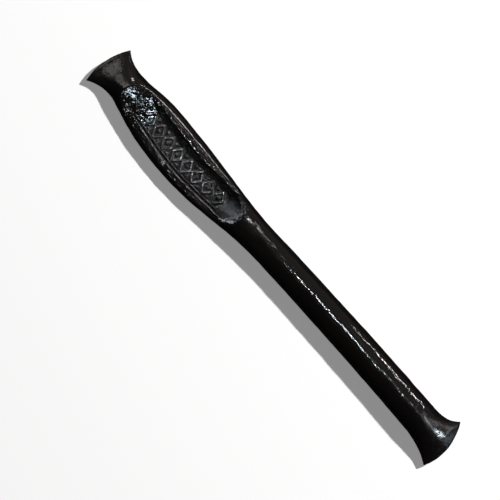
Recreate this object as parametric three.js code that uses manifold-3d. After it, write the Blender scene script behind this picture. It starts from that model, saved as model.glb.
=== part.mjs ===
// Hard licorice stick: one solid piece, lying on its underside. Millimetres, +Z up.
// +X runs from the stamped end to the plain end, and +Y to the grip's straighter side.
// The origin is on the surface that the stick lies on, under the middle of its bounding box.
import * as THREE from 'three';
import { mergeVertices } from 'three/addons/utils/BufferGeometryUtils.js';
import Module from 'manifold-3d';

// The rod: its width seen from above, and how much lower than wide it has settled
const rodWidth = 10.98; // at x = 0
const rodWidening = 0.0107; // per mm towards the plain end
const rodHeightShare = 0.915; // height over width
const rodOffsetY = 0.57; // from the box's middle plane to the rod's own line

// The grip: the rod pressed flatter and wider near one end
const gripSwell = 7.24; // extra width at its widest
const gripCentreX = -51.7;
const gripStartX = -82.0;
const gripEndX = -4.2;
const gripSwellPower = 1.2;
const gripFlattening = 0.09; // share of the height that pressing took

// The line of the stick, which the stamp pushed sideways at the grip
const gripBend = { depth: -1.72, x: -37.3, span: 29.9 };
const rodBend = { depth: 0.23, x: 47.0, span: 20.0 };

// The underside: a flat strip, and round shoulders beside it
const flatShare = 0.42; // of the width that lies flat
const waistShare = 0.49; // of the height, where the section is widest

// The pinched ends: chordX is the middle of the straight line between the two corners
const stampedEnd = {
  inward: 1,
  chordX: -83.29,
  slant: 1.15, // how far the +Y corner lies beyond the chord's middle
  bulge: 1.75, // how far the lip bows out past the chord
  pinch: 13.0, // length of the slope from the lip to the full height
  pinchPower: 1.25,
  lipTop: 4.6,
  lipBottom: 2.0,
};
const plainEnd = {
  inward: -1,
  chordX: 82.56,
  slant: -1.35,
  bulge: 2.5,
  pinch: 15.0,
  pinchPower: 0.72,
  lipTop: 4.5,
  lipBottom: 1.9,
};
const lipRound = 0.9; // radius of the lip's edge
const lipCutShare = 0.45; // of the lip's height that the cut leaves upright
const lipSquareness = 0.8; // how much flatter than round the section is at the lip

// The corners of the fishtails, which spread past the rod's width
const corners = [
  { side: -1, inward: 1, x: -84.44, reach: 3.63, length: 11.5, power: 2.1 },
  { side: 1, inward: 1, x: -82.14, reach: 3.94, length: 24.0, power: 4.6 },
  { side: 1, inward: -1, x: 81.21, reach: 3.32, length: 14.0, power: 5.0 },
  { side: -1, inward: -1, x: 83.91, reach: 3.34, length: 16.5, power: 2.7 },
];

// The press's frame, which flattened the rims round the trough
const rimZ = 7.4;
const pressStartX = -68.3;
const pressEndX = -23.3;
const pressStartSlope = 0.28;
const pressEndSlope = 0.32;
const pressLean = 0.045; // lower on the -Y side
const pressCrown = 0.01; // per mm, how much it curves down towards its sides
const pressRound = 1.2;
const pressEdgeRound = 0.4;

// The rod's top stays a little flattened past the trough
const neckSquareness = { depth: 0.5, x: -12.0, span: 11.0 };

// The stamped trough
const floorZ = 5.3;
const floorStartX = -60.8;
const floorEndX = -24.4;
const startSlope = 0.31; // the ramp down from the neck, rise over run
const startSkew = 0.4; // how far the ramp's foot runs towards the plain end on its +Y side
const endSlope = 0.55; // the tongue up to the rod
const scoop = 0.045; // per mm, how much the tongue curves up towards its sides
const scoopLimit = 1.0;
const floorCentreX = -42.0;
const floorHalfWidth = 3.2;
const floorTaperLength = 34.2;
const floorTaperPower = 4;
const wallSlopeLow = 1.58; // the wall at the -Y side
const wallSlopeHigh = 0.93; // the wall at the +Y side
const stampShift = { depth: -1.0, x: -45.0, span: 16.0 }; // the stamp lay off the grip's middle
const rimRound = 0.6;
const creaseRound = 0.7;

// The raised ornament on the trough's floor: open lozenges with pips, and darts between them
const lozengeCount = 9;
const lozengePitch = 4.89;
const firstLozengeX = -65.7;
const lozengeHalfLength = 2.0;
const lozengeHalfWidth = 2.7;
const lineWidth = 1.0; // of a lozenge's line at its foot
const lineTopWidth = 0.5;
const reliefHeight = 0.5;
const reliefRoot = 1.0; // sunk into the floor, so that the pieces fuse
const pipRadius = 0.6;
const pipSides = 8;
const dartRadius = 0.85;
const dartSides = 3;
const dartOffset = 2.35; // from the floor's middle line
const studTopShare = 0.6; // of the radius at its foot
const lozengeSideSteps = 4;

// How finely the surface is divided
const topSegments = 26;
const shoulderSegments = 5;
const endRows = 13;
const endRowGrading = 1.6;
const gripRows = 40;
const rodRows = 22;
const endRowsReach = 15.0;
const gripRowsEndX = -6.0;
const cutFadeStart = 2.0;
const cutFadeEnd = 26.0;
const weldDistance = 1e-4;

const clamp01 = (t) => Math.min(Math.max(t, 0), 1);
const smoothStep = (t) => clamp01(t) ** 2 * (3 - 2 * clamp01(t));
const swell = ({ depth, x: centre, span }, x) => depth * Math.exp(-(((x - centre) / span) ** 2));

function smoothMin(a, b, round) {
  const near = Math.max(round - Math.abs(a - b), 0) / round;
  return Math.min(a, b) - (near ** 3 * round) / 6;
}

const smoothMax = (a, b, round) => -smoothMin(-a, -b, round);

const rodWidthAt = (x) => rodWidth + rodWidening * x;

// 0 outside the grip, 1 at its widest
function gripShare(x) {
  const reach = x < gripCentreX ? gripStartX - gripCentreX : gripEndX - gripCentreX;
  const t = clamp01((x - gripCentreX) / reach) ** gripSwellPower;
  return (1 + Math.cos(Math.PI * t)) / 2;
}

function cornerReach(side, x) {
  let total = 0;
  for (const corner of corners) {
    if (corner.side !== side) continue;
    const inside = clamp01(((x - corner.x) * corner.inward) / corner.length);
    total += corner.reach * (1 - inside) ** corner.power;
  }
  return total;
}

// The two sides of the stick seen from above
function outline(x) {
  const half = (rodWidthAt(x) + gripSwell * gripShare(x)) / 2;
  const middle = rodOffsetY + swell(gripBend, x) + swell(rodBend, x);
  return { low: middle - half - cornerReach(-1, x), high: middle + half + cornerReach(1, x) };
}

// The x of an end's lip, at v = -1 on the -Y side to v = 1 on the +Y side
const lipX = (end, v) => end.chordX + end.slant * v - end.inward * end.bulge * (1 - v * v);

const insideLip = (end, x, v) => (x - lipX(end, v)) * end.inward;

// 0 at the lip, 1 where the pinch ends
const pinchRise = (end, inside) => smoothStep(clamp01(inside / end.pinch) ** end.pinchPower);

// Shrinks the lip's height towards its edge
function lipEdge(inside) {
  const t = 1 - clamp01(inside / lipRound);
  return lipCutShare + (1 - lipCutShare) * Math.sqrt(1 - t * t);
}

// Heights of the section through (x, v) before the trough is stamped into it
function sectionHeights(x, v) {
  const full = rodHeightShare * rodWidthAt(x) * (1 - gripFlattening * gripShare(x));
  const end = x < 0 ? stampedEnd : plainEnd;
  const inside = insideLip(end, x, v);
  const rise = pinchRise(end, inside);
  const crown = end.lipTop + (full - end.lipTop) * rise;
  const keel = end.lipBottom * (1 - rise);
  const waist = keel + waistShare * (crown - keel);
  const edge = lipEdge(inside);
  return {
    waist,
    crown: waist + (crown - waist) * edge,
    keel: waist + (keel - waist) * edge,
    power: 2 + lipSquareness * (1 - rise) + swell(neckSquareness, x),
  };
}

const roundAcross = (share, power) => Math.max(1 - Math.abs(share) ** power, 0) ** (1 / power);

function undersideZ(x, v) {
  const { waist, keel, power } = sectionHeights(x, v);
  const share = clamp01((Math.abs(v) - flatShare) / (1 - flatShare));
  return waist + (keel - waist) * roundAcross(share, power);
}

// The middle and half width of the trough's floor
function floorBand(x) {
  const { low, high } = outline(x);
  const taper = Math.min(((x - floorCentreX) / floorTaperLength) ** floorTaperPower, 1);
  return { middle: (low + high) / 2 + swell(stampShift, x), half: floorHalfWidth * (1 - taper) };
}

// The underside of the press's frame, which rises at both ends of the trough
function pressZ(x, offLine) {
  const ramp = Math.max((pressStartX - x) * pressStartSlope, (x - pressEndX) * pressEndSlope);
  const across = pressLean * offLine - pressCrown * offLine ** 2;
  return rimZ + smoothMax(ramp, 0, pressRound) + across;
}

// The face of the stamp: a floor, two walls and two ramps
function stampZ(x, offLine, half) {
  const faces = [
    (-half - offLine) * wallSlopeLow,
    (offLine - half) * wallSlopeHigh,
    (floorStartX + startSkew * offLine - x) * startSlope,
    (x - floorEndX) * endSlope + Math.min(scoop * offLine ** 2, scoopLimit),
  ];
  return floorZ + faces.reduce((height, face) => smoothMax(height, face, creaseRound), 0);
}

function topsideZ(x, v) {
  const { waist, crown, power } = sectionHeights(x, v);
  const { low, high } = outline(x);
  const y = (low + high) / 2 + (v * (high - low)) / 2;
  const { middle, half } = floorBand(x);
  const offLine = y - middle;
  const rolled = waist + (crown - waist) * roundAcross(v, power);
  const pressed = smoothMin(rolled, pressZ(x, offLine), pressEdgeRound);
  const stamped = smoothMin(pressed, stampZ(x, offLine, half), rimRound);
  return Math.max(stamped, Math.min(rolled, waist));
}

function surfaceZ(x, y) {
  const { low, high } = outline(x);
  return topsideZ(x, (2 * y - low - high) / (high - low));
}

// Places across the section, from -1 to 1: closer together towards the sides
function topPlaces() {
  const places = [];
  for (let i = 0; i <= topSegments; i += 1) {
    places.push(Math.sin((Math.PI * (2 * i - topSegments)) / (2 * topSegments)));
  }
  return places;
}

function undersidePlaces() {
  const shoulder = [];
  for (let i = 1; i <= shoulderSegments; i += 1) {
    const turn = (Math.PI * i) / (2 * shoulderSegments);
    shoulder.push(flatShare + (1 - flatShare) * Math.cos(turn));
  }
  return [...shoulder, ...shoulder.map((v) => -v).reverse()];
}

// Distances along the stick of its cross sections, before the end cuts bend them
function stationPlaces() {
  const start = lipX(stampedEnd, 0);
  const finish = lipX(plainEnd, 0);
  const places = [];
  for (let i = 0; i < endRows; i += 1) {
    places.push(start + endRowsReach * (i / endRows) ** endRowGrading);
  }
  const gripFrom = start + endRowsReach;
  for (let i = 0; i < gripRows; i += 1) {
    places.push(gripFrom + ((gripRowsEndX - gripFrom) * i) / gripRows);
  }
  const rodTo = finish - endRowsReach;
  for (let i = 0; i < rodRows; i += 1) {
    places.push(gripRowsEndX + ((rodTo - gripRowsEndX) * i) / rodRows);
  }
  for (let i = endRows; i >= 0; i -= 1) {
    places.push(finish - endRowsReach * (i / endRows) ** endRowGrading);
  }
  return places;
}

// Bends a cross section so that the ones near an end follow its lip
function bentX(place, v) {
  const end = place < 0 ? stampedEnd : plainEnd;
  const inside = insideLip(end, place, 0);
  const fade = 1 - smoothStep((inside - cutFadeStart) / (cutFadeEnd - cutFadeStart));
  return place + (lipX(end, v) - lipX(end, 0)) * fade;
}

function ringPoint(place, v, heightAt) {
  const x = bentX(place, v);
  const { low, high } = outline(x);
  return [x, (low + high) / 2 + (v * (high - low)) / 2, heightAt(x, v)];
}

// Triangles between two rows of vertices that start and end together, given the places of each
function stitch(lower, lowerPlaces, upper, upperPlaces) {
  const triangles = [];
  let i = 0;
  let j = 0;
  while (i < lower.length - 1 || j < upper.length - 1) {
    const advanceLower =
      j === upper.length - 1 || (i < lower.length - 1 && lowerPlaces[i + 1] <= upperPlaces[j + 1]);
    if (advanceLower) {
      triangles.push(lower[i], upper[j], lower[i + 1]);
      i += 1;
    } else {
      triangles.push(lower[i], upper[j], upper[j + 1]);
      j += 1;
    }
  }
  return triangles;
}

// The stick without its ornament, as rings of vertices joined from end to end
function stickBody() {
  const upper = topPlaces();
  const under = undersidePlaces();
  const ringSize = upper.length + under.length;
  const places = stationPlaces();
  const positions = [];
  for (const place of places) {
    for (const v of upper) positions.push(...ringPoint(place, v, topsideZ));
    for (const v of under) positions.push(...ringPoint(place, v, undersideZ));
  }
  const triangles = [];
  for (let row = 0; row < places.length - 1; row += 1) {
    for (let i = 0; i < ringSize; i += 1) {
      const next = (i + 1) % ringSize;
      const a = row * ringSize + i;
      const b = row * ringSize + next;
      const c = (row + 1) * ringSize + i;
      const d = (row + 1) * ringSize + next;
      triangles.push(a, d, b, a, c, d);
    }
  }
  triangles.push(...lipFace(0, upper, under, false));
  triangles.push(...lipFace(places.length - 1, upper, under, true));
  return shape(positions, triangles);
}

// The narrow upright face at an end
function lipFace(row, upper, under, faceForward) {
  const base = row * (upper.length + under.length);
  const upperRow = upper.map((v, i) => base + i);
  const underRow = under.map((v, i) => base + upper.length + i).reverse();
  const lowerRow = [upperRow[0], ...underRow, upperRow[upperRow.length - 1]];
  const lowerPlaces = [-1, ...[...under].reverse(), 1];
  const face = stitch(lowerRow, lowerPlaces, upperRow, upper);
  const real = [];
  for (let i = 0; i < face.length; i += 3) {
    const [a, b, c] = face.slice(i, i + 3);
    if (a === b || b === c || a === c) continue;
    real.push(a, faceForward ? c : b, faceForward ? b : c);
  }
  return real;
}

function shape(positions, triangles) {
  const geometry = new THREE.BufferGeometry();
  geometry.setAttribute('position', new THREE.Float32BufferAttribute(positions, 3));
  geometry.setIndex(triangles);
  return geometry;
}

// Points round a lozenge that is grown outwards by a distance
function lozengeLoop(centreX, centreY, growth) {
  const slantGrowth = Math.hypot(lozengeHalfLength, lozengeHalfWidth);
  const alongX = lozengeHalfLength + (growth * slantGrowth) / lozengeHalfWidth;
  const alongY = lozengeHalfWidth + (growth * slantGrowth) / lozengeHalfLength;
  const tips = [
    [alongX, 0],
    [0, alongY],
    [-alongX, 0],
    [0, -alongY],
  ];
  const loop = [];
  tips.forEach(([x, y], i) => {
    const [nextX, nextY] = tips[(i + 1) % tips.length];
    for (let k = 0; k < lozengeSideSteps; k += 1) {
      const t = k / lozengeSideSteps;
      loop.push([centreX + x + (nextX - x) * t, centreY + y + (nextY - y) * t]);
    }
  });
  return loop;
}

// A lozenge of raised line with sloping sides
function raisedLozenge(centreX, centreY) {
  const profile = [
    [lineWidth / 2, -reliefRoot],
    [lineTopWidth / 2, reliefHeight],
    [-lineTopWidth / 2, reliefHeight],
    [-lineWidth / 2, -reliefRoot],
  ];
  const loops = profile.map(([growth, rise]) =>
    lozengeLoop(centreX, centreY, growth).map(([x, y]) => [x, y, surfaceZ(x, y) + rise]),
  );
  const size = loops[0].length;
  const triangles = [];
  for (let side = 0; side < loops.length; side += 1) {
    const nextSide = (side + 1) % loops.length;
    for (let i = 0; i < size; i += 1) {
      const next = (i + 1) % size;
      const a = side * size + i;
      const b = side * size + next;
      const c = nextSide * size + i;
      const d = nextSide * size + next;
      triangles.push(a, b, d, a, d, c);
    }
  }
  return shape(loops.flat(2), triangles);
}

// A small raised stud: many sides make a pip, three make a dart
function raisedStud(x, y, radius, sides, turn) {
  const height = reliefHeight + reliefRoot;
  const stud = new THREE.CylinderGeometry(radius * studTopShare, radius, height, sides);
  stud.rotateX(Math.PI / 2);
  stud.rotateZ(turn);
  stud.translate(x, y, surfaceZ(x, y) + (reliefHeight - reliefRoot) / 2);
  return stud;
}

function ornament() {
  const pieces = [];
  for (let i = 0; i < lozengeCount; i += 1) {
    const x = firstLozengeX + lozengePitch * i;
    const y = floorBand(x).middle;
    pieces.push(raisedLozenge(x, y));
    pieces.push(raisedStud(x, y, pipRadius, pipSides, 0));
    if (i === lozengeCount - 1) break;
    const gapX = x + lozengePitch / 2;
    const gapY = floorBand(gapX).middle;
    pieces.push(raisedStud(gapX, gapY + dartOffset, dartRadius, dartSides, Math.PI / 2));
    pieces.push(raisedStud(gapX, gapY - dartOffset, dartRadius, dartSides, -Math.PI / 2));
  }
  return pieces;
}

const wasm = await Module();
wasm.setup();

function toSolid(geometry) {
  const bare = geometry.clone();
  bare.deleteAttribute('normal');
  bare.deleteAttribute('uv');
  const merged = mergeVertices(bare, weldDistance);
  return new wasm.Manifold(
    new wasm.Mesh({
      numProp: 3,
      vertProperties: merged.getAttribute('position').array,
      triVerts: new Uint32Array(merged.getIndex().array),
    }),
  );
}

function fuse(geometries) {
  const solids = geometries.map(toSolid);
  const mesh = solids.reduce((whole, piece) => whole.add(piece)).getMesh();
  const fused = new THREE.BufferGeometry();
  fused.setAttribute('position', new THREE.BufferAttribute(mesh.vertProperties, 3));
  fused.setIndex(new THREE.BufferAttribute(mesh.triVerts, 1));
  fused.computeVertexNormals();
  return fused;
}

const licorice = new THREE.MeshStandardMaterial({ color: 0x0d0b0b, roughness: 0.3, metalness: 0 });
const stick = new THREE.Mesh(fuse([stickBody(), ...ornament()]), licorice);
stick.name = 'licorice_stick';

const part = new THREE.Group();
part.add(stick);

export default part;
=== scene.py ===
"""A hard licorice stick, lying stamped side up on a pale studio floor.

Everything is in metres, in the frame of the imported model: +X runs from the stamped end to the
plain end, +Y to the grip's straighter side, and +Z up.
"""

import math

import bmesh
import bpy
from mathutils import Matrix, Vector


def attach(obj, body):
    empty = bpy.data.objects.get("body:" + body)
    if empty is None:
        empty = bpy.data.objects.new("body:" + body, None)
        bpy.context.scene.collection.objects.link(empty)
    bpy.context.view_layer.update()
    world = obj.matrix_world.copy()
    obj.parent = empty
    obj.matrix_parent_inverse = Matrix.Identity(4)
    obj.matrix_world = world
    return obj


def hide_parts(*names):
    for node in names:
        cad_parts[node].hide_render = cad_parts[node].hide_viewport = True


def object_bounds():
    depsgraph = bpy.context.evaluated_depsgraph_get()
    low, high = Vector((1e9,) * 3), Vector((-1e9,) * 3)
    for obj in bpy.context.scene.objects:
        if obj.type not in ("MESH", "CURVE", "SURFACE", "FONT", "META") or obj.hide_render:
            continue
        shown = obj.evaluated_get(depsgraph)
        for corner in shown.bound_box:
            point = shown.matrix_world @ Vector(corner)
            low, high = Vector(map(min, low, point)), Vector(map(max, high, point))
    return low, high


bl_info = {
    "name": "Hard licorice stick",
    "version": (1, 0, 0),
    "blender": (4, 5, 0),
    "location": "View3D > Sidebar > Licorice",
    "description": "Builds a stamped hard licorice stick and the studio that it lies in",
    "category": "Add Mesh",
}

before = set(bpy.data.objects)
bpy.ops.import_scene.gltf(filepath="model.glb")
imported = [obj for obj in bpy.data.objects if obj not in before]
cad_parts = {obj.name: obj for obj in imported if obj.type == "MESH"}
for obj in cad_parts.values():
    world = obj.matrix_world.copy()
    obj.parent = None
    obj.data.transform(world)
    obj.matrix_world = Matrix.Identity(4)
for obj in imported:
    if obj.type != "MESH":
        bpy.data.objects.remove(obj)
CAD_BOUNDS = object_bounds()

MM = 0.001
NODE = "licorice_stick"

# The rod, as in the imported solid
ROD_OFFSET_Y = 0.57 * MM
WAIST_SHARE = 0.49  # of the height, where the section is widest
GRIP_CENTRE_X = -51.7 * MM
GRIP_START_X = -82.0 * MM
GRIP_END_X = -4.2 * MM
GRIP_SWELL_POWER = 1.2
GRIP_BEND = {"depth": -1.72 * MM, "x": -37.3 * MM, "span": 29.9 * MM}
ROD_BEND = {"depth": 0.23 * MM, "x": 47.0 * MM, "span": 20.0 * MM}

# The pinched ends: chord_x is the middle of the straight line between the two corners
STAMPED_END = {
    "inward": 1,
    "chord_x": -83.29 * MM,
    "slant": 1.15 * MM,
    "bulge": 1.75 * MM,
    "pinch": 13.0 * MM,
    "pinch_power": 1.25,
    "lip_top": 4.6 * MM,
    "lip_bottom": 2.0 * MM,
}
PLAIN_END = {
    "inward": -1,
    "chord_x": 82.56 * MM,
    "slant": -1.35 * MM,
    "bulge": 2.5 * MM,
    "pinch": 15.0 * MM,
    "pinch_power": 0.72,
    "lip_top": 4.5 * MM,
    "lip_bottom": 1.9 * MM,
}
ENDS = (STAMPED_END, PLAIN_END)
LIP_CUT_SHARE = 0.45  # of the lip's height that the cut leaves upright
LIP_SQUARENESS = 0.8  # how much flatter than round the section is at the lip
CUT_FADE_START = 2.0 * MM
CUT_FADE_END = 26.0 * MM

# The corners of the fishtails, which spread past the rod's width
CORNERS = (
    {"side": -1, "inward": 1, "x": -84.44 * MM, "reach": 3.63 * MM, "length": 11.5 * MM, "power": 2.1},
    {"side": 1, "inward": 1, "x": -82.14 * MM, "reach": 3.94 * MM, "length": 24.0 * MM, "power": 4.6},
    {"side": 1, "inward": -1, "x": 81.21 * MM, "reach": 3.32 * MM, "length": 14.0 * MM, "power": 5.0},
    {"side": -1, "inward": -1, "x": 83.91 * MM, "reach": 3.34 * MM, "length": 16.5 * MM, "power": 2.7},
)

# The press, which flattened the rims round the trough
PRESS_START_X = -68.3 * MM
PRESS_END_X = -23.3 * MM
PRESS_START_SLOPE = 0.28
PRESS_END_SLOPE = 0.32
PRESS_ROUND = 1.2 * MM
PRESS_LEAN = 0.045  # the frame is lower on its -Y side
PRESS_CROWN = 0.01 / MM  # how much the frame curves down towards its sides
PRESS_EDGE_ROUND = 0.4 * MM

# The top of the rod stays flattened a little way past the trough
NECK_SQUARENESS = {"depth": 0.5, "x": -12.0 * MM, "span": 11.0 * MM}

# The stamped trough
FLOOR_START_X = -60.8 * MM
FLOOR_END_X = -24.4 * MM
FLOOR_CENTRE_X = -42.0 * MM
FLOOR_TAPER_LENGTH = 34.2 * MM
FLOOR_TAPER_POWER = 4.0
WALL_SLOPE_LOW = 1.58
WALL_SLOPE_HIGH = 0.93
STAMP_SHIFT = {"depth": -1.0 * MM, "x": -45.0 * MM, "span": 16.0 * MM}
START_SKEW = 0.4  # how far the ramp's foot runs towards the plain end on its +Y side
SCOOP = 0.045 / MM  # how much the tongue curves up towards its sides
SCOOP_LIMIT = 1.0 * MM
CREASE_ROUND = 0.7 * MM
FLOOR_FADE = 0.2 * MM  # the height over which the floor's dull finish fades

# The ornament and the unevenness of the surface
DART_SIDES = 3
WANDER_SIZE = 2.4 * MM  # from one bend of a wandering line to the next
PIT_REACH = 0.45  # radius of a pit, as a share of the pits' spacing
END_CALM = 0.6  # share of the ripple that the pinched ends lost
HOLLOW_CALM = 0.6  # share of the ripple that the stamp took from the trough

# How finely the stick is divided: rows along it, columns round it
ROWS = 640
TOP_COLUMNS = 100
UNDER_COLUMNS = 46
ROW_GRADING = 0.5
MERGE_DISTANCE = 1e-7

# Names of the attributes that the stick carries
PRESSED = "pressed"
STAMPED = "stamped"
FLOOR = "trough_floor"
OFF_LINE = "off_line"
RAISED = "raised"
PINCHED = "pinched"


class Field:
    """A number in a node tree. Arithmetic on it adds Math nodes."""

    def __init__(self, tree, socket):
        self.tree = tree
        self.socket = socket

    def __add__(self, other):
        return calculate("ADD", self, other)

    def __radd__(self, other):
        return calculate("ADD", other, self)

    def __sub__(self, other):
        return calculate("SUBTRACT", self, other)

    def __rsub__(self, other):
        return calculate("SUBTRACT", other, self)

    def __mul__(self, other):
        return calculate("MULTIPLY", self, other)

    def __rmul__(self, other):
        return calculate("MULTIPLY", other, self)

    def __truediv__(self, other):
        return calculate("DIVIDE", self, other)

    def __rtruediv__(self, other):
        return calculate("DIVIDE", other, self)

    def __pow__(self, other):
        return calculate("POWER", self, other)

    def __neg__(self):
        return calculate("MULTIPLY", self, -1.0)

    def __abs__(self):
        return calculate("ABSOLUTE", self)


def plug(tree, value, socket):
    """Links a field or an output to a socket, or sets the socket to a plain value."""
    if isinstance(value, Field):
        tree.links.new(value.socket, socket)
    elif isinstance(value, bpy.types.NodeSocket):
        tree.links.new(value, socket)
    else:
        socket.default_value = value


def calculate(operation, *values):
    tree = next(value.tree for value in values if isinstance(value, Field))
    node = tree.nodes.new("ShaderNodeMath")
    node.operation = operation
    for socket, value in zip(node.inputs, values):
        plug(tree, value, socket)
    return Field(tree, node.outputs[0])


def least(a, b):
    return calculate("MINIMUM", a, b)


def most(a, b):
    return calculate("MAXIMUM", a, b)


def clamp01(value):
    return least(most(value, 0.0), 1.0)


def smooth_step(value):
    t = clamp01(value)
    return t * t * (3.0 - 2.0 * t)


def bell(shape, x):
    distance = (x - shape["x"]) / shape["span"]
    return shape["depth"] * calculate("EXPONENT", -(distance * distance))


class NodeTree:
    """A Geometry Nodes tree whose named inputs come from a group of settings."""

    def __init__(self, name, settings):
        self.group = bpy.data.node_groups.new(name, "GeometryNodeTree")
        self.group.is_modifier = True
        self.settings = settings
        sockets = self.group.interface
        sockets.new_socket(name="Geometry", in_out="INPUT", socket_type="NodeSocketGeometry")
        sockets.new_socket(name="Geometry", in_out="OUTPUT", socket_type="NodeSocketGeometry")
        self.identifiers = {}
        for prop in own_properties(settings):
            kind = "NodeSocketInt" if prop.type == "INT" else "NodeSocketFloat"
            socket = sockets.new_socket(name=prop.name, in_out="INPUT", socket_type=kind)
            socket.description = prop.description
            socket.default_value = prop.default
            self.identifiers[prop.identifier] = socket.identifier
        self.inputs = self.group.nodes.new("NodeGroupInput")
        self.geometry = self.inputs.outputs["Geometry"]

    def __getitem__(self, identifier):
        """The input of that setting."""
        wanted = self.identifiers[identifier]
        socket = next(s for s in self.inputs.outputs if s.identifier == wanted)
        return Field(self.group, socket)

    def node(self, kind, sockets=None, **options):
        made = self.group.nodes.new(kind)
        for name, value in options.items():
            setattr(made, name, value)
        for name, value in (sockets or {}).items():
            plug(self.group, value, made.inputs[name])
        return made

    def field(self, kind, output, sockets=None, **options):
        return Field(self.group, self.node(kind, sockets, **options).outputs[output])

    def step(self, kind, sockets=None, **options):
        """Passes the geometry so far through a node."""
        made = self.node(kind, sockets, **options)
        plug(self.group, self.geometry, made.inputs[0])
        self.geometry = made.outputs[0]

    def axes(self, vector=None):
        """The x, y and z of a vector, or of the position."""
        source = vector or self.node("GeometryNodeInputPosition").outputs[0]
        split = self.node("ShaderNodeSeparateXYZ", {"Vector": source})
        return [Field(self.group, output) for output in split.outputs]

    def vector(self, x, y, z):
        return self.node("ShaderNodeCombineXYZ", {"X": x, "Y": y, "Z": z}).outputs[0]

    def named(self, name):
        return self.field("GeometryNodeInputNamedAttribute", "Attribute", {"Name": name})

    def store(self, name, value):
        self.step("GeometryNodeStoreNamedAttribute", {"Name": name, "Value": value})

    def close(self, material):
        """Ends the tree: instances made real, and the material set."""
        self.step("GeometryNodeRealizeInstances")
        self.step("GeometryNodeSetMaterial", {"Material": material})
        output = self.group.nodes.new("NodeGroupOutput")
        plug(self.group, self.geometry, output.inputs[0])

    def add_to(self, target):
        """Adds the tree to an object as a modifier, with its inputs set."""
        modifier = target.modifiers.new(self.group.name, "NODES")
        modifier.node_group = self.group
        for name, identifier in self.identifiers.items():
            modifier[identifier] = getattr(self.settings, name)


def own_properties(settings):
    shared = set(bpy.types.PropertyGroup.bl_rna.properties.keys())
    return [prop for prop in settings.bl_rna.properties if prop.identifier not in shared]


class StickForm:
    """The stick's shape as formulas on fields: x runs along it, v from -1 to 1 across it."""

    def __init__(self, tree):
        self.tree = tree

    def rod_width(self, x):
        return self.tree["rod_width"] + self.tree["rod_widening"] * x

    def grip_share(self, x):
        """0 outside the grip, 1 at its widest."""
        before = (GRIP_CENTRE_X - x) / (GRIP_CENTRE_X - GRIP_START_X)
        after = (x - GRIP_CENTRE_X) / (GRIP_END_X - GRIP_CENTRE_X)
        turn = clamp01(most(before, after)) ** GRIP_SWELL_POWER
        return 0.5 + 0.5 * calculate("COSINE", turn * math.pi)

    def corner_reach(self, side, x):
        reaches = [
            corner["reach"]
            * (1.0 - clamp01((x - corner["x"]) * (corner["inward"] / corner["length"])))
            ** corner["power"]
            for corner in CORNERS
            if corner["side"] == side
        ]
        return reaches[0] + reaches[1]

    def outline(self, x):
        """The middle and the half width of the stick seen from above."""
        half = (self.rod_width(x) + self.tree["grip_swell"] * self.grip_share(x)) * 0.5
        middle = ROD_OFFSET_Y + bell(GRIP_BEND, x) + bell(ROD_BEND, x)
        low = middle - half - self.corner_reach(-1, x)
        high = middle + half + self.corner_reach(1, x)
        return (low + high) * 0.5, (high - low) * 0.5

    def inside_lip(self, end, x, v):
        lip = end["chord_x"] + end["slant"] * v - end["inward"] * end["bulge"] * (1.0 - v * v)
        return (x - lip) * end["inward"]

    def bent_x(self, place, v):
        """Bends a cross section so that the ones near an end follow its lip."""
        x = place
        for end in ENDS:
            from_lip = (place - lip_middle(end)) * end["inward"]
            fade = 1.0 - smooth_step((from_lip - CUT_FADE_START) / (CUT_FADE_END - CUT_FADE_START))
            x = x + (end["slant"] * v + (end["inward"] * end["bulge"]) * v * v) * fade
        return x

    def section(self, x, v):
        """Heights of the waist, crown and keel, and how square the section is."""
        flattening = 1.0 - self.tree["grip_flattening"] * self.grip_share(x)
        full = self.tree["rod_height_share"] * self.rod_width(x) * flattening
        crown = full
        keel = 0.0
        power = 2.0 + bell(NECK_SQUARENESS, x)
        edge = 1.0
        pinch = 0.0
        for end in ENDS:
            inside = self.inside_lip(end, x, v)
            pinched = 1.0 - smooth_step(clamp01(inside / end["pinch"]) ** end["pinch_power"])
            crown = crown - (full - end["lip_top"]) * pinched
            keel = end["lip_bottom"] * pinched + keel
            power = LIP_SQUARENESS * pinched + power
            pinch = pinched + pinch
            turn = 1.0 - clamp01(inside / self.tree["lip_round"])
            roundness = calculate("SQRT", 1.0 - turn * turn)
            edge = (LIP_CUT_SHARE + (1.0 - LIP_CUT_SHARE) * roundness) * edge
        waist = keel + WAIST_SHARE * (crown - keel)
        return {
            "waist": waist,
            "crown": waist + (crown - waist) * edge,
            "keel": waist + (keel - waist) * edge,
            "power": power,
            "pinch": pinch,
        }

    def press(self, x, off_line):
        """The height of the press's frame, which rises at both ends of the trough."""
        start = (PRESS_START_X - x) * PRESS_START_SLOPE
        end = (x - PRESS_END_X) * PRESS_END_SLOPE
        rise = calculate("SMOOTH_MAX", most(start, end), 0.0, PRESS_ROUND)
        across = off_line * PRESS_LEAN - off_line * off_line * PRESS_CROWN
        return self.tree["rim_height"] + rise + across

    def floor_band(self, x):
        """The middle and the half width of the trough's floor."""
        middle, _ = self.outline(x)
        taper = least(((x - FLOOR_CENTRE_X) / FLOOR_TAPER_LENGTH) ** FLOOR_TAPER_POWER, 1.0)
        half = self.tree["floor_half_width"] * (1.0 - taper)
        return middle + bell(STAMP_SHIFT, x), half

    def stamp(self, x, off_line, half):
        """The face of the stamp: a floor, two walls and two ramps."""
        scoop = off_line * off_line * SCOOP
        faces = (
            (-half - off_line) * WALL_SLOPE_LOW,
            (off_line - half) * WALL_SLOPE_HIGH,
            (FLOOR_START_X + START_SKEW * off_line - x) * self.tree["start_slope"],
            (x - FLOOR_END_X) * self.tree["end_slope"] + least(scoop, SCOOP_LIMIT),
        )
        height = 0.0
        for face in faces:
            height = calculate("SMOOTH_MAX", face, height, CREASE_ROUND)
        return self.tree["floor_height"] + height


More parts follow.
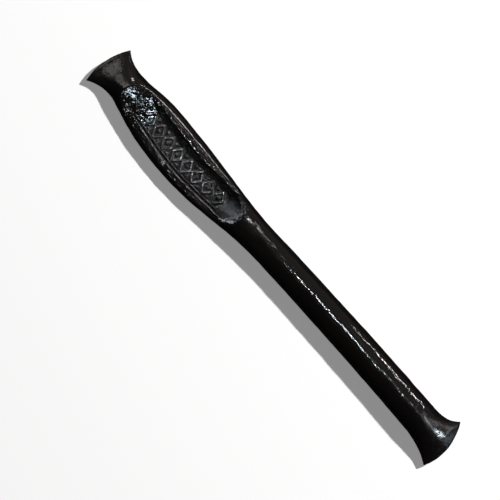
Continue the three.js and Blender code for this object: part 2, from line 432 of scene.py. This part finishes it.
def lip_middle(end):
    """The x of an end's lip, half way across it."""
    return end["chord_x"] - end["inward"] * end["bulge"]


def round_across(share, power):
    return most(1.0 - abs(share) ** power, 0.0) ** (1.0 / power)


def stick_tree(settings, material):
    """A grid rolled into the stick: rows along it, columns over the top and back underneath."""
    tree = NodeTree("Licorice stick form", settings)
    form = StickForm(tree)
    columns = TOP_COLUMNS + UNDER_COLUMNS
    grid = tree.node("GeometryNodeMeshGrid", {"Vertices X": ROWS, "Vertices Y": columns + 1})
    tree.geometry = grid.outputs["Mesh"]

    grid_x, grid_y, _ = tree.axes()
    along = grid_x + 0.5
    graded = along - ROW_GRADING / math.tau * calculate("SINE", along * math.tau)
    first, last = (lip_middle(end) for end in ENDS)
    place = first + (last - first) * graded

    top_share = TOP_COLUMNS / columns
    around = grid_y + 0.5
    half_column = 0.5 / columns
    on_top = calculate("LESS_THAN", around, top_share + half_column)
    across_top = around / top_share
    across_under = (1.0 - around) / (1.0 - top_share)
    across = across_under + (across_top - across_under) * on_top
    v = calculate("SINE", (across - 0.5) * math.pi)

    x = form.bent_x(place, v)
    middle, half = form.outline(x)
    y = middle + half * v
    section = form.section(x, v)
    floor_middle, floor_half = form.floor_band(x)
    off_line = y - floor_middle
    stamp = form.stamp(x, off_line, floor_half)
    rolled = section["waist"] + (section["crown"] - section["waist"]) * round_across(v, section["power"])
    press = form.press(x, off_line)
    pressed = calculate("SMOOTH_MIN", rolled, press, PRESS_EDGE_ROUND)
    stamped = calculate("SMOOTH_MIN", pressed, stamp, tree["rim_round"])
    top_z = most(stamped, section["waist"])
    from_flat = clamp01((abs(v) - tree["flat_share"]) / (1.0 - tree["flat_share"]))
    under_z = section["waist"] + (section["keel"] - section["waist"]) * round_across(
        from_flat, section["power"]
    )
    z = under_z + (top_z - under_z) * on_top

    tree.store(PRESSED, clamp01((rolled - press) / PRESS_EDGE_ROUND) * on_top)
    tree.store(STAMPED, clamp01((pressed - stamp) / tree["rim_round"]) * on_top)
    tree.store(FLOOR, clamp01(1.0 - (stamp - tree["floor_height"]) / FLOOR_FADE) * on_top)
    tree.store(OFF_LINE, off_line)
    tree.store(PINCHED, section["pinch"])
    tree.step("GeometryNodeSetPosition", {"Position": tree.vector(x, y, z)})
    tree.step("GeometryNodeMergeByDistance", {"Distance": MERGE_DISTANCE})
    tree.close(material)
    return tree


def ornament_tree(settings, material):
    """Raises a row of open lozenges, with pips in them and darts between them, on the floor."""
    tree = NodeTree("Stamped ornament", settings)
    pitch = tree["pitch"]
    centres = tree.node(
        "GeometryNodeMeshLine",
        {
            "Count": tree["count"],
            "Start Location": tree.vector(tree["first_x"], 0.0, 0.0),
            "Offset": tree.vector(pitch, 0.0, 0.0),
        },
    ).outputs[0]
    gaps = tree.node(
        "GeometryNodeMeshLine",
        {
            "Count": tree["count"] - 1,
            "Start Location": tree.vector(tree["first_x"] + pitch * 0.5, 0.0, 0.0),
            "Offset": tree.vector(pitch, 0.0, 0.0),
        },
    ).outputs[0]

    lozenge = tree.node("GeometryNodeCurvePrimitiveQuadrilateral", mode="KITE")
    plug(tree.group, tree["half_length"] * 2.0, lozenge.inputs["Width"])
    plug(tree.group, tree["half_width"], lozenge.inputs["Bottom Height"])
    plug(tree.group, tree["half_width"], lozenge.inputs["Top Height"])
    lozenge_wire = tree.node("GeometryNodeCurveToMesh", {"Curve": lozenge.outputs[0]}).outputs[0]
    lozenges = tree.node("GeometryNodeInstanceOnPoints", {"Points": centres, "Instance": lozenge_wire})

    triangle = {"Vertices": DART_SIDES, "Radius": tree["dart_radius"]}
    dart = tree.node("GeometryNodeMeshCircle", triangle, fill_type="NGON")
    darts = tree.node("GeometryNodeJoinGeometry")
    for side in (-1, 1):
        turned = tree.node(
            "GeometryNodeTransform",
            {
                "Geometry": dart.outputs[0],
                "Translation": tree.vector(0.0, tree["dart_offset"] * side, 0.0),
                "Rotation": (0.0, 0.0, math.pi / 2 * (1 - side)),
            },
        )
        row = tree.node("GeometryNodeInstanceOnPoints", {"Points": gaps, "Instance": turned.outputs[0]})
        tree.group.links.new(row.outputs[0], darts.inputs[0])

    x, _, _ = tree.axes()
    sockets = {"Scale": 1.0 / WANDER_SIZE, "Detail": 1.0}
    bends = tree.node("ShaderNodeTexNoise", sockets, noise_dimensions="3D")
    wander_x, wander_y, _ = tree.axes(bends.outputs["Color"])
    sample = tree.vector(
        x + (wander_x - 0.5) * tree["wander"],
        tree.named(OFF_LINE) + (wander_y - 0.5) * tree["wander"],
        0.0,
    )

    def distance_to(target, element):
        real = tree.node("GeometryNodeRealizeInstances", {"Geometry": target}).outputs[0]
        sockets = {"Geometry": real, "Sample Position": sample}
        return tree.field("GeometryNodeProximity", "Distance", sockets, target_element=element)

    slope = tree["side_slope"]
    line = smooth_step((tree["line_half_width"] - distance_to(lozenges.outputs[0], "EDGES")) / slope)
    pip = smooth_step((tree["pip_radius"] - distance_to(centres, "POINTS")) / slope)
    point = smooth_step(1.0 - distance_to(darts.outputs[0], "FACES") / slope)
    raised = most(most(line, pip), point) * smooth_step(tree.named(STAMPED))
    tree.store(RAISED, raised)
    rise = tree.named(RAISED) * tree["height"]
    tree.step("GeometryNodeSetPosition", {"Offset": tree.vector(0.0, 0.0, rise)})
    tree.close(material)
    return tree


def surface_tree(settings, material):
    """Gives the surface lumps, ripples and pits, and keeps it in the box of the solid."""
    tree = NodeTree("Licorice surface", settings)

    def noise(size, detail):
        sockets = {"Scale": 1.0 / size, "Detail": detail}
        return tree.field("ShaderNodeTexNoise", "Fac", sockets, noise_dimensions="3D")

    lumps = (noise(tree["lump_size"], 1.0) - 0.5) * tree["lump_depth"]
    hollow = tree.named(STAMPED) * (1.0 - tree.named(RAISED))
    wobble = (1.0 - END_CALM * tree.named(PINCHED)) * (1.0 - HOLLOW_CALM * hollow)
    ripple = (noise(tree["ripple_size"], 1.0) - 0.5) * tree["ripple_depth"] * wobble
    cells = tree.node("ShaderNodeTexVoronoi", {"Scale": 1.0 / tree["pit_spacing"]}, feature="F1")
    gate = tree.axes(cells.outputs["Color"])[0]
    bowl = smooth_step(1.0 - Field(tree.group, cells.outputs["Distance"]) / PIT_REACH)
    pits = bowl * gate * gate * tree["pit_depth"]
    rise = lumps + ripple - pits
    places = tree.axes()
    normal = tree.axes(tree.node("GeometryNodeInputNormal").outputs["Normal"])
    low, high = CAD_BOUNDS
    kept = [
        least(most(place + part * rise, low[axis]), high[axis])
        for axis, (place, part) in enumerate(zip(places, normal))
    ]
    tree.step("GeometryNodeSetPosition", {"Position": tree.vector(*kept)})
    tree.close(material)
    return tree


class StickSizes(bpy.types.PropertyGroup):
    """Sizes of the stick's form"""

    rod_width: bpy.props.FloatProperty(
        name="Rod width",
        description="Width of the plain rod half way along the stick",
        default=10.98 * MM,
        min=0.0,
        precision=5,
        unit="LENGTH",
    )
    rod_widening: bpy.props.FloatProperty(
        name="Rod widening",
        description="How much wider the rod gets for each metre towards the plain end",
        default=0.0107,
        precision=4,
    )
    rod_height_share: bpy.props.FloatProperty(
        name="Rod height share",
        description="Height of the rod as a share of its width",
        default=0.915,
        subtype="FACTOR",
        min=0.0,
        max=1.0,
    )
    flat_share: bpy.props.FloatProperty(
        name="Flat share",
        description="Share of the width that lies flat on the surface below",
        default=0.42,
        subtype="FACTOR",
        min=0.0,
        max=0.9,
    )
    grip_swell: bpy.props.FloatProperty(
        name="Grip swell",
        description="Extra width of the grip at its widest",
        default=7.24 * MM,
        precision=5,
        unit="LENGTH",
    )
    grip_flattening: bpy.props.FloatProperty(
        name="Grip flattening",
        description="Share of the height that pressing took from the grip",
        default=0.09,
        subtype="FACTOR",
        min=0.0,
        max=0.5,
    )
    lip_round: bpy.props.FloatProperty(
        name="Lip rounding",
        description="Radius of the edge of each lip",
        default=0.9 * MM,
        min=0.01 * MM,
        precision=5,
        unit="LENGTH",
    )
    floor_height: bpy.props.FloatProperty(
        name="Floor height",
        description="Height of the trough's floor",
        default=5.3 * MM,
        precision=5,
        unit="LENGTH",
    )
    floor_half_width: bpy.props.FloatProperty(
        name="Floor half width",
        description="Half the width of the trough's floor at its middle",
        default=3.2 * MM,
        precision=5,
        unit="LENGTH",
    )
    start_slope: bpy.props.FloatProperty(
        name="Start slope",
        description="Rise over run of the ramp from the neck down to the floor",
        default=0.31,
    )
    end_slope: bpy.props.FloatProperty(
        name="End slope",
        description="Rise over run of the tongue from the floor up to the rod",
        default=0.55,
    )
    rim_height: bpy.props.FloatProperty(
        name="Rim height",
        description="Height of the flattened rims beside the trough",
        default=7.4 * MM,
        precision=5,
        unit="LENGTH",
    )
    rim_round: bpy.props.FloatProperty(
        name="Rim rounding",
        description="How softly the stamp's edge turns into the rim",
        default=0.6 * MM,
        min=0.01 * MM,
        precision=5,
        unit="LENGTH",
    )


class OrnamentSizes(bpy.types.PropertyGroup):
    """Sizes of the raised ornament in the trough"""

    count: bpy.props.IntProperty(
        name="Lozenges",
        description="Number of lozenges in the row",
        default=9,
        min=2,
    )
    first_x: bpy.props.FloatProperty(
        name="First lozenge",
        description="Place of the first lozenge along the stick",
        default=-65.7 * MM,
        precision=5,
        unit="LENGTH",
    )
    pitch: bpy.props.FloatProperty(
        name="Pitch",
        description="Distance from one lozenge to the next",
        default=4.89 * MM,
        precision=5,
        unit="LENGTH",
    )
    half_length: bpy.props.FloatProperty(
        name="Half length",
        description="Half of a lozenge's length along the stick",
        default=2.0 * MM,
        precision=5,
        unit="LENGTH",
    )
    half_width: bpy.props.FloatProperty(
        name="Half width",
        description="Half of a lozenge's width across the stick",
        default=2.7 * MM,
        precision=5,
        unit="LENGTH",
    )
    line_half_width: bpy.props.FloatProperty(
        name="Line half width",
        description="Half the width of a lozenge's raised line at its foot",
        default=0.5 * MM,
        precision=5,
        unit="LENGTH",
    )
    side_slope: bpy.props.FloatProperty(
        name="Side slope",
        description="Width of the slope at the side of a raised line",
        default=0.26 * MM,
        min=0.01 * MM,
        precision=5,
        unit="LENGTH",
    )
    height: bpy.props.FloatProperty(
        name="Height",
        description="Height of the ornament above the floor",
        default=0.5 * MM,
        precision=5,
        unit="LENGTH",
    )
    pip_radius: bpy.props.FloatProperty(
        name="Pip radius",
        description="Radius of the pip in a lozenge",
        default=0.6 * MM,
        precision=5,
        unit="LENGTH",
    )
    dart_radius: bpy.props.FloatProperty(
        name="Dart radius",
        description="Radius of the flat top of a dart between two lozenges",
        default=0.5 * MM,
        precision=5,
        unit="LENGTH",
    )
    dart_offset: bpy.props.FloatProperty(
        name="Dart offset",
        description="Distance of the darts from the row's middle line",
        default=2.35 * MM,
        precision=5,
        unit="LENGTH",
    )
    wander: bpy.props.FloatProperty(
        name="Wander",
        description="How far the soft licorice let the lines wander",
        default=0.5 * MM,
        precision=5,
        unit="LENGTH",
    )


class SurfaceSizes(bpy.types.PropertyGroup):
    """Sizes of the unevenness of the surface"""

    lump_size: bpy.props.FloatProperty(
        name="Lump size",
        description="Distance from one broad lump to the next",
        default=5.0 * MM,
        precision=5,
        unit="LENGTH",
    )
    lump_depth: bpy.props.FloatProperty(
        name="Lump depth",
        description="Depth of the broad lumps",
        default=0.30 * MM,
        precision=5,
        unit="LENGTH",
    )
    ripple_size: bpy.props.FloatProperty(
        name="Ripple size",
        description="Distance from one small ripple to the next",
        default=1.2 * MM,
        precision=5,
        unit="LENGTH",
    )
    ripple_depth: bpy.props.FloatProperty(
        name="Ripple depth",
        description="Depth of the small ripples",
        default=0.05 * MM,
        precision=5,
        unit="LENGTH",
    )
    pit_spacing: bpy.props.FloatProperty(
        name="Pit spacing",
        description="Distance from one pit to the next",
        default=0.9 * MM,
        precision=5,
        unit="LENGTH",
    )
    pit_depth: bpy.props.FloatProperty(
        name="Pit depth",
        description="Depth of the deepest pits",
        default=0.06 * MM,
        precision=5,
        unit="LENGTH",
    )


class LicoriceFinish(bpy.types.PropertyGroup):
    """Colour and gloss of the licorice"""

    colour: bpy.props.FloatVectorProperty(
        name="Colour",
        description="Colour of the licorice",
        default=(0.0042, 0.0036, 0.0036),
        subtype="COLOR",
        min=0.0,
        max=1.0,
    )
    roughness: bpy.props.FloatProperty(
        name="Roughness",
        description="Roughness of the shiny skin",
        default=0.10,
        subtype="FACTOR",
        min=0.0,
        max=1.0,
    )
    end_dulling: bpy.props.FloatProperty(
        name="End dulling",
        description="How much rougher the skin is at the pinched ends",
        default=0.14,
        subtype="FACTOR",
        min=0.0,
        max=1.0,
    )
    hollow_dulling: bpy.props.FloatProperty(
        name="Hollow dulling",
        description="How much rougher the skin is inside the stamped trough",
        default=0.12,
        subtype="FACTOR",
        min=0.0,
        max=1.0,
    )
    recess_dulling: bpy.props.FloatProperty(
        name="Recess dulling",
        description="How much rougher still the trough's floor is",
        default=0.6,
        subtype="FACTOR",
        min=0.0,
        max=1.0,
    )
    facet_size: bpy.props.FloatProperty(
        name="Facet size",
        description="Size of the small facets that glitter",
        default=0.34 * MM,
        precision=5,
        unit="LENGTH",
    )
    facet_tilt: bpy.props.FloatProperty(
        name="Facet tilt",
        description="How far a usual facet leans from the skin",
        default=0.024,
        subtype="ANGLE",
    )
    grain_size: bpy.props.FloatProperty(
        name="Grain size",
        description="Size of the finest grain of the skin",
        default=0.5 * MM,
        precision=5,
        unit="LENGTH",
    )
    grain_depth: bpy.props.FloatProperty(
        name="Grain depth",
        description="Depth of the finest grain of the skin",
        default=0.018 * MM,
        precision=5,
        unit="LENGTH",
    )


class StudioSettings(bpy.types.PropertyGroup):
    """The floor, the lights and the camera"""

    floor_colour: bpy.props.FloatVectorProperty(
        name="Floor colour",
        description="Colour of the floor",
        default=(0.9, 0.9, 0.9),
        subtype="COLOR",
        min=0.0,
        max=1.0,
    )
    floor_glow: bpy.props.FloatProperty(
        name="Floor glow",
        description="Light that the floor gives off, so that it stays near white",
        default=0.287,
        min=0.0,
    )
    camera_distance: bpy.props.FloatProperty(
        name="Camera distance",
        description="Distance from the camera down to the stick",
        default=0.9,
        unit="LENGTH",
    )


# The glitter of each part of the skin, added to the plain rod's
PLAIN_GLITTER = 1.0
WORKED_GLITTER = 2.0
RAISED_GLITTER = 3.0
PINCHED_GLITTER = 1.6
HOLLOW_GLITTER = -0.5
FACET_GAIN = 8.0  # one over the cube of 0.5, which is how far a usual cell's colour is from grey

# The slow change of gloss over the skin
SHEEN_SIZE = 1.8 * MM
SHEEN_RANGE = 0.08


class ShaderTree(NodeTree):
    """The node tree of a material or a world, with the same helpers."""

    def __init__(self, owner):
        owner.use_nodes = True
        self.group = owner.node_tree
        self.group.nodes.clear()

    def vector_math(self, operation, *vectors):
        sockets = dict(enumerate(vectors))
        return self.node("ShaderNodeVectorMath", sockets, operation=operation).outputs[0]

    def object_place(self):
        return self.node("ShaderNodeTexCoord").outputs["Object"]

    def attribute(self, name):
        return self.field("ShaderNodeAttribute", "Fac", attribute_name=name)


def licorice_material(finish):
    material = bpy.data.materials.new("licorice")
    tree = ShaderTree(material)
    place = tree.object_place()

    def noise(size, detail, roughness=0.5):
        sockets = {"Vector": place, "Scale": 1.0 / size, "Detail": detail, "Roughness": roughness}
        return tree.field("ShaderNodeTexNoise", "Fac", sockets, noise_dimensions="3D")

    worked = most(tree.attribute(PRESSED), tree.attribute(STAMPED))
    raised = tree.attribute(RAISED)
    recess = tree.attribute(FLOOR) * (1.0 - raised)
    grain = noise(finish.grain_size, 1.0, 0.6)
    fine_bump = tree.node(
        "ShaderNodeBump", {"Height": grain, "Strength": 1.0, "Distance": finish.grain_depth}
    )
    hollow = tree.attribute(STAMPED) * (1.0 - raised)
    pinched = tree.attribute(PINCHED)
    glitter = (
        PLAIN_GLITTER
        + WORKED_GLITTER * worked
        + RAISED_GLITTER * raised
        + PINCHED_GLITTER * pinched
        + HOLLOW_GLITTER * hollow
    )
    dulling = (
        hollow * finish.hollow_dulling
        + recess * finish.recess_dulling
        + pinched * finish.end_dulling
    )
    roughness = finish.roughness + (noise(SHEEN_SIZE, 2.0) - 0.5) * SHEEN_RANGE + dulling
    shader = tree.node(
        "ShaderNodeBsdfPrincipled",
        {
            "Base Color": (*finish.colour, 1.0),
            "Roughness": roughness,
            "Normal": faceted(tree, finish, place, fine_bump.outputs["Normal"], glitter),
        },
    )
    tree.node("ShaderNodeOutputMaterial", {"Surface": shader.outputs["BSDF"]})
    return material


def faceted(tree, finish, place, normal, strength):
    """Tilts a normal another way in each small cell, a few of them far, so that the skin glitters."""
    cells = tree.node("ShaderNodeTexVoronoi", {"Vector": place, "Scale": 1.0 / finish.facet_size})
    centre = (0.5, 0.5, 0.5)
    tilt = tree.vector_math("SUBTRACT", cells.outputs["Color"], centre)
    tail = tree.field("ShaderNodeVectorMath", "Value", {0: tilt, 1: tilt}, operation="DOT_PRODUCT")
    amount = tail * strength * (FACET_GAIN * finish.facet_tilt)
    scaled = tree.node("ShaderNodeVectorMath", {0: tilt, "Scale": amount}, operation="SCALE").outputs[0]
    return tree.vector_math("NORMALIZE", tree.vector_math("ADD", normal, scaled))


class LICORICE_OT_build_stick(bpy.types.Operator):
    """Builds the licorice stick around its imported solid"""

    bl_idname = "licorice.build_stick"
    bl_label = "Build licorice stick"
    bl_options = {"REGISTER", "UNDO"}

    def execute(self, context):
        scene = context.scene
        material = licorice_material(scene.licorice_finish)
        seed = bpy.data.objects.new("stick_seed", bpy.data.meshes.new("stick_seed"))
        scene.collection.objects.link(seed)
        stick_tree(scene.licorice_stick, material).add_to(seed)
        ornament_tree(scene.licorice_ornament, material).add_to(seed)
        surface_tree(scene.licorice_surface, material).add_to(seed)
        stick = plain_mesh(seed, "licorice_stick_skin")
        close_lips(stick)
        cover_whole(stick, material)
        shade_smooth(stick)
        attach(stick, "root")
        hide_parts(NODE)
        return {"FINISHED"}


def plain_mesh(source, name):
    """Turns an object's evaluated modifiers into a new object's plain mesh, and drops the source."""
    depsgraph = bpy.context.evaluated_depsgraph_get()
    mesh = bpy.data.meshes.new_from_object(source.evaluated_get(depsgraph), depsgraph=depsgraph)
    mesh.name = name
    if not mesh.polygons:
        raise RuntimeError(f"{name} has no faces")
    bpy.data.objects.remove(source)
    made = bpy.data.objects.new(name, mesh)
    bpy.context.scene.collection.objects.link(made)
    return made


def close_lips(stick):
    """Fills the narrow upright face at each end."""
    mesh = bmesh.new()
    mesh.from_mesh(stick.data)
    open_edges = [edge for edge in mesh.edges if edge.is_boundary]
    for inward in (1, -1):
        lip = [edge for edge in open_edges if edge.verts[0].co.x * inward < 0]
        bmesh.ops.triangle_fill(mesh, edges=lip, use_beauty=True)
    bmesh.ops.recalc_face_normals(mesh, faces=mesh.faces)
    if any(edge.is_boundary for edge in mesh.edges):
        raise RuntimeError("the stick isn't closed")
    mesh.to_mesh(stick.data)
    mesh.free()


def cover_whole(target, material):
    """Gives every face the one material, the filled ends too."""
    target.data.materials.clear()
    target.data.materials.append(material)
    target.data.polygons.foreach_set("material_index", [0] * len(target.data.polygons))


def shade_smooth(target):
    target.data.polygons.foreach_set("use_smooth", [True] * len(target.data.polygons))


# The studio: where the photograph's frame shows the stick
IMAGE_SIZE = 500
STICK_MIDDLE_PIXEL = (276.0, 255.5)
STICK_TURN = math.radians(48.572)  # below the image's horizontal
PIXEL = 0.3288 * MM
STICK_MIDDLE = Vector((0.07 * MM, 0.57 * MM, 0.0))
LIP_HEIGHT = 3.3 * MM
FLOOR_HALF = 1.5
FLOOR_ROUGHNESS = 0.9
WHITE = (1.0, 1.0, 1.0)

# The key light, which casts the shadow and shows in no gloss
KEY_PLACE = Vector((0.194, 0.924, 1.166))
KEY_SIDE = 0.06
KEY_POWER = 23.5

# The surroundings that the gloss shows: dim, with one warm brighter side
GLOSS_COLOUR = (1.0, 0.88, 0.83, 1.0)
GLOSS_DIM = 0.006
GLOSS_BRIGHT = 0.19
SIDE_FADE = {"rate": 2.5, "start": 0.25}
HEIGHT_FADE = {"rate": 6.0, "start": 0.5}
BACKDROP_COLOUR = (0.95, 0.95, 0.95, 1.0)

# Colours of the gleams
COOL = (0.86, 0.94, 1.0)
BLUE = (0.70, 0.86, 1.0)
PLAIN = (1.0, 0.98, 0.96)
ROSE = (1.0, 0.35, 0.45)


class LICORICE_OT_build_studio(bpy.types.Operator):
    """Adds the floor, the lights and the camera"""

    bl_idname = "licorice.build_studio"
    bl_label = "Build studio"
    bl_options = {"REGISTER", "UNDO"}

    def execute(self, context):
        settings = context.scene.licorice_studio
        context.scene.view_settings.view_transform = "Standard"
        add_floor(settings)
        camera = add_camera(context.scene, settings)
        add_lights(camera.matrix_world.translation)
        add_world(context.scene)
        return {"FINISHED"}


def add_floor(settings):
    material = bpy.data.materials.new("studio_floor")
    tree = ShaderTree(material)
    colour = (*settings.floor_colour, 1.0)
    shader = tree.node(
        "ShaderNodeBsdfPrincipled",
        {
            "Base Color": colour,
            "Roughness": FLOOR_ROUGHNESS,
            "Specular IOR Level": 0.0,
            "Emission Color": colour,
            "Emission Strength": settings.floor_glow,
        },
    )
    tree.node("ShaderNodeOutputMaterial", {"Surface": shader.outputs["BSDF"]})
    mesh = bpy.data.meshes.new("studio_floor")
    signs = ((-1, -1), (1, -1), (1, 1), (-1, 1))
    corners = [(FLOOR_HALF * x, FLOOR_HALF * y, 0.0) for x, y in signs]
    mesh.from_pydata(corners, [], [(0, 1, 2, 3)])
    mesh.materials.append(material)
    floor = bpy.data.objects.new("studio_floor", mesh)
    floor.visible_glossy = False  # the stick's edges stay black against it
    bpy.context.scene.collection.objects.link(floor)


def add_area_light(name, place, target, size, power, colour):
    data = bpy.data.lights.new(name, "AREA")
    data.shape = "RECTANGLE"
    data.size, data.size_y = size
    data.energy = power
    data.color = colour
    light = bpy.data.objects.new(name, data)
    light.visible_camera = False
    bpy.context.scene.collection.objects.link(light)
    light.matrix_world = Matrix.Translation(place) @ aim_along_stick(target - place)
    return light


def add_gleam(name, eye, spot, lean, distance, size, spread, radiance, colour):
    """A beam that shows only in the gloss: the eye sees it at that spot if the skin leans so."""
    target = Vector(spot) * MM
    normal = Vector([math.tan(math.radians(angle)) for angle in lean] + [1.0]).normalized()
    view = (eye - target).normalized()
    mirrored = 2.0 * normal.dot(view) * normal - view
    half_spread = math.radians(spread) / 2.0
    narrowing = 1.0 - half_spread / math.tan(half_spread)  # the share of the power that it needs
    length, width = (side * MM for side in size)
    power = radiance * math.pi * length * width * narrowing
    place = target + mirrored * distance * MM
    light = add_area_light(name, place, target, (length, width), power, colour)
    light.data.spread = 2.0 * half_spread
    light.visible_diffuse = False


def aim_along_stick(direction):
    """A rotation that looks along a direction and keeps its own x as near the stick's as it can."""
    back = -direction.normalized()
    side = Vector((1.0, 0.0, 0.0))
    side = (side - back * side.dot(back)).normalized()
    up = back.cross(side)
    return Matrix((side, up, back)).transposed().to_4x4()


def add_lights(eye):
    key = add_area_light("key", KEY_PLACE, Vector(), (KEY_SIDE, KEY_SIDE), KEY_POWER, WHITE)
    key.visible_glossy = False
    # name, spot in millimetres, lean of the skin there in degrees, distance and size of the light in
    # millimetres, spread of its beam in degrees, radiance, colour
    gleams = (
        ("shaft_line", (28.5, 1.2, 10.3), (-0.8, 7.0), 200.0, (40.0, 2.4), 5.0, 640.0, COOL),
        ("shaft_dots", (46.0, 1.2, 10.3), (-4.0, 7.0), 200.0, (50.0, 5.0), 9.0, 210.0, COOL),
        ("shaft_glow", (58.0, 1.8, 10.4), (-1.0, 9.0), 100.0, (60.0, 16.0), 40.0, 0.8, COOL),
        ("side_line", (57.0, 4.1, 9.6), (-1.5, 32.8), 200.0, (34.0, 4.0), 7.0, 250.0, PLAIN),
        ("grip_edge", (-50.0, 5.9, 7.1), (0.0, 28.0), 60.0, (50.0, 2.0), 24.0, 100.0, PLAIN),
        ("neck_line", (-6.0, 2.0, 9.7), (-3.0, 15.5), 100.0, (20.0, 1.6), 20.0, 56.0, PLAIN),
        ("ramp", (-71.1, -0.1, 8.0), (12.5, -2.0), 15.0, (4.2, 1.3), 40.0, 54.0, BLUE),
        ("ramp_side", (-64.4, 2.6, 6.6), (10.0, -8.0), 12.0, (2.4, 1.4), 40.0, 170.0, BLUE),
        ("ramp_foot", (-61.3, -1.8, 5.7), (9.0, 2.0), 12.0, (1.2, 3.6), 40.0, 420.0, BLUE),
        ("ornament", (-45.0, -0.7, 5.8), (-4.0, -1.0), 100.0, (42.0, 5.0), 7.0, 1050.0, COOL),
        ("relief", (-42.0, -0.7, 5.8), (-10.0, 7.0), 200.0, (30.0, 26.0), 10.0, 170.0, COOL),
        ("relief_far", (-42.0, -0.7, 5.8), (9.0, 6.0), 200.0, (30.0, 26.0), 10.0, 130.0, COOL),
        ("tongue", (-20.5, -0.7, 7.4), (-28.5, 0.0), 60.0, (14.0, 34.0), 50.0, 2.1, BLUE),
        ("tongue_rim", (-18.5, -4.3, 8.6), (-20.5, -2.5), 30.0, (5.0, 7.0), 40.0, 14.0, COOL),
        ("flare", (-81.5, 0.5, 5.2), (-17.0, 3.0), 60.0, (50.0, 24.0), 80.0, 2.5, PLAIN),
        ("flare_glint", (-74.0, 3.5, 7.9), (-18.5, 26.5), 12.0, (2.4, 1.4), 50.0, 22.0, PLAIN),
        ("flare_tint", (-76.3, 4.2, 7.0), (-23.0, 28.5), 20.0, (5.0, 2.5), 60.0, 0.4, ROSE),
        ("rim_line", (-40.0, -6.2, 6.9), (1.0, 12.0), 150.0, (56.0, 8.0), 8.0, 200.0, PLAIN),
        ("rim_dots", (-57.0, -6.9, 6.8), (6.0, -8.5), 400.0, (20.0, 40.0), 7.0, 130.0, PLAIN),
        ("end_tail", (74.5, 2.2, 9.4), (14.5, 16.5), 30.0, (26.0, 4.0), 60.0, 7.0, COOL),
        ("end_glow", (74.0, 2.2, 9.8), (12.0, 16.0), 60.0, (52.0, 40.0), 60.0, 2.0, COOL),
        ("end_glint", (79.3, 2.2, 7.4), (27.5, 12.6), 60.0, (24.0, 6.0), 50.0, 6.0, BLUE),
        ("end_core", (78.8, 2.2, 7.6), (27.5, 13.2), 12.0, (2.8, 0.8), 50.0, 130.0, COOL),
        ("end_flare", (80.4, 5.7, 5.9), (13.0, 25.0), 20.0, (6.0, 9.0), 70.0, 2.4, PLAIN),
    )
    for name, *gleam in gleams:
        add_gleam(name, eye, *gleam)


def add_world(scene):
    world = bpy.data.worlds.new("studio_world")
    scene.world = world
    tree = ShaderTree(world)
    _, side, height = tree.axes(tree.node("ShaderNodeTexCoord").outputs["Generated"])
    beside = smooth_step(side * SIDE_FADE["rate"] + SIDE_FADE["start"])
    above = smooth_step(height * HEIGHT_FADE["rate"] + HEIGHT_FADE["start"])
    rays = tree.node("ShaderNodeLightPath").outputs
    gloss_only = 1.0 - Field(tree.group, rays["Is Diffuse Ray"])
    strength = (GLOSS_DIM + GLOSS_BRIGHT * (beside * above)) * gloss_only
    surroundings = tree.node("ShaderNodeBackground", {"Color": GLOSS_COLOUR, "Strength": strength})
    backdrop = tree.node("ShaderNodeBackground", {"Color": BACKDROP_COLOUR, "Strength": 1.0})
    both = tree.node(
        "ShaderNodeMixShader",
        {0: rays["Is Camera Ray"], 1: surroundings.outputs[0], 2: backdrop.outputs[0]},
    )
    tree.node("ShaderNodeOutputWorld", {"Surface": both.outputs[0]})


def add_camera(scene, settings):
    """Looks straight down, with the stick where the photograph's frame shows it."""
    data = bpy.data.cameras.new("camera")
    image_width = IMAGE_SIZE * PIXEL
    data.angle = 2.0 * math.atan(image_width / 2.0 / settings.camera_distance)
    data.clip_start = 0.01
    right = Vector((math.cos(STICK_TURN), math.sin(STICK_TURN), 0.0))
    up = Vector((-math.sin(STICK_TURN), math.cos(STICK_TURN), 0.0))
    off_x = IMAGE_SIZE / 2 - STICK_MIDDLE_PIXEL[0]
    off_y = STICK_MIDDLE_PIXEL[1] - IMAGE_SIZE / 2
    aim = STICK_MIDDLE + (right * off_x + up * off_y) * PIXEL
    camera = bpy.data.objects.new("camera", data)
    scene.collection.objects.link(camera)
    height = Vector((0.0, 0.0, LIP_HEIGHT + settings.camera_distance))
    turn = Matrix((right, up, Vector((0.0, 0.0, 1.0)))).transposed().to_4x4()
    camera.matrix_world = Matrix.Translation(aim + height) @ turn
    scene.camera = camera
    return camera


class LICORICE_PT_panel(bpy.types.Panel):
    """Lists the stick's sizes and the operators that build it"""

    bl_idname = "LICORICE_PT_panel"
    bl_label = "Licorice stick"
    bl_space_type = "VIEW_3D"
    bl_region_type = "UI"
    bl_category = "Licorice"

    def draw(self, context):
        for name in SETTINGS:
            settings = getattr(context.scene, name)
            box = self.layout.box()
            box.label(text=settings.bl_rna.description)
            for prop in own_properties(settings):
                box.prop(settings, prop.identifier)
        for operator in OPERATORS:
            self.layout.operator(operator.bl_idname)


SETTINGS = {
    "licorice_stick": StickSizes,
    "licorice_ornament": OrnamentSizes,
    "licorice_surface": SurfaceSizes,
    "licorice_finish": LicoriceFinish,
    "licorice_studio": StudioSettings,
}
OPERATORS = (LICORICE_OT_build_stick, LICORICE_OT_build_studio)
CLASSES = (*SETTINGS.values(), *OPERATORS, LICORICE_PT_panel)


def register():
    for cls in CLASSES:
        bpy.utils.register_class(cls)
    for name, settings in SETTINGS.items():
        setattr(bpy.types.Scene, name, bpy.props.PointerProperty(type=settings))


def unregister():
    for name in SETTINGS:
        delattr(bpy.types.Scene, name)
    for cls in reversed(CLASSES):
        bpy.utils.unregister_class(cls)


def main():
    register()
    bpy.ops.licorice.build_stick()
    bpy.ops.licorice.build_studio()


if __name__ == "__main__":
    main()
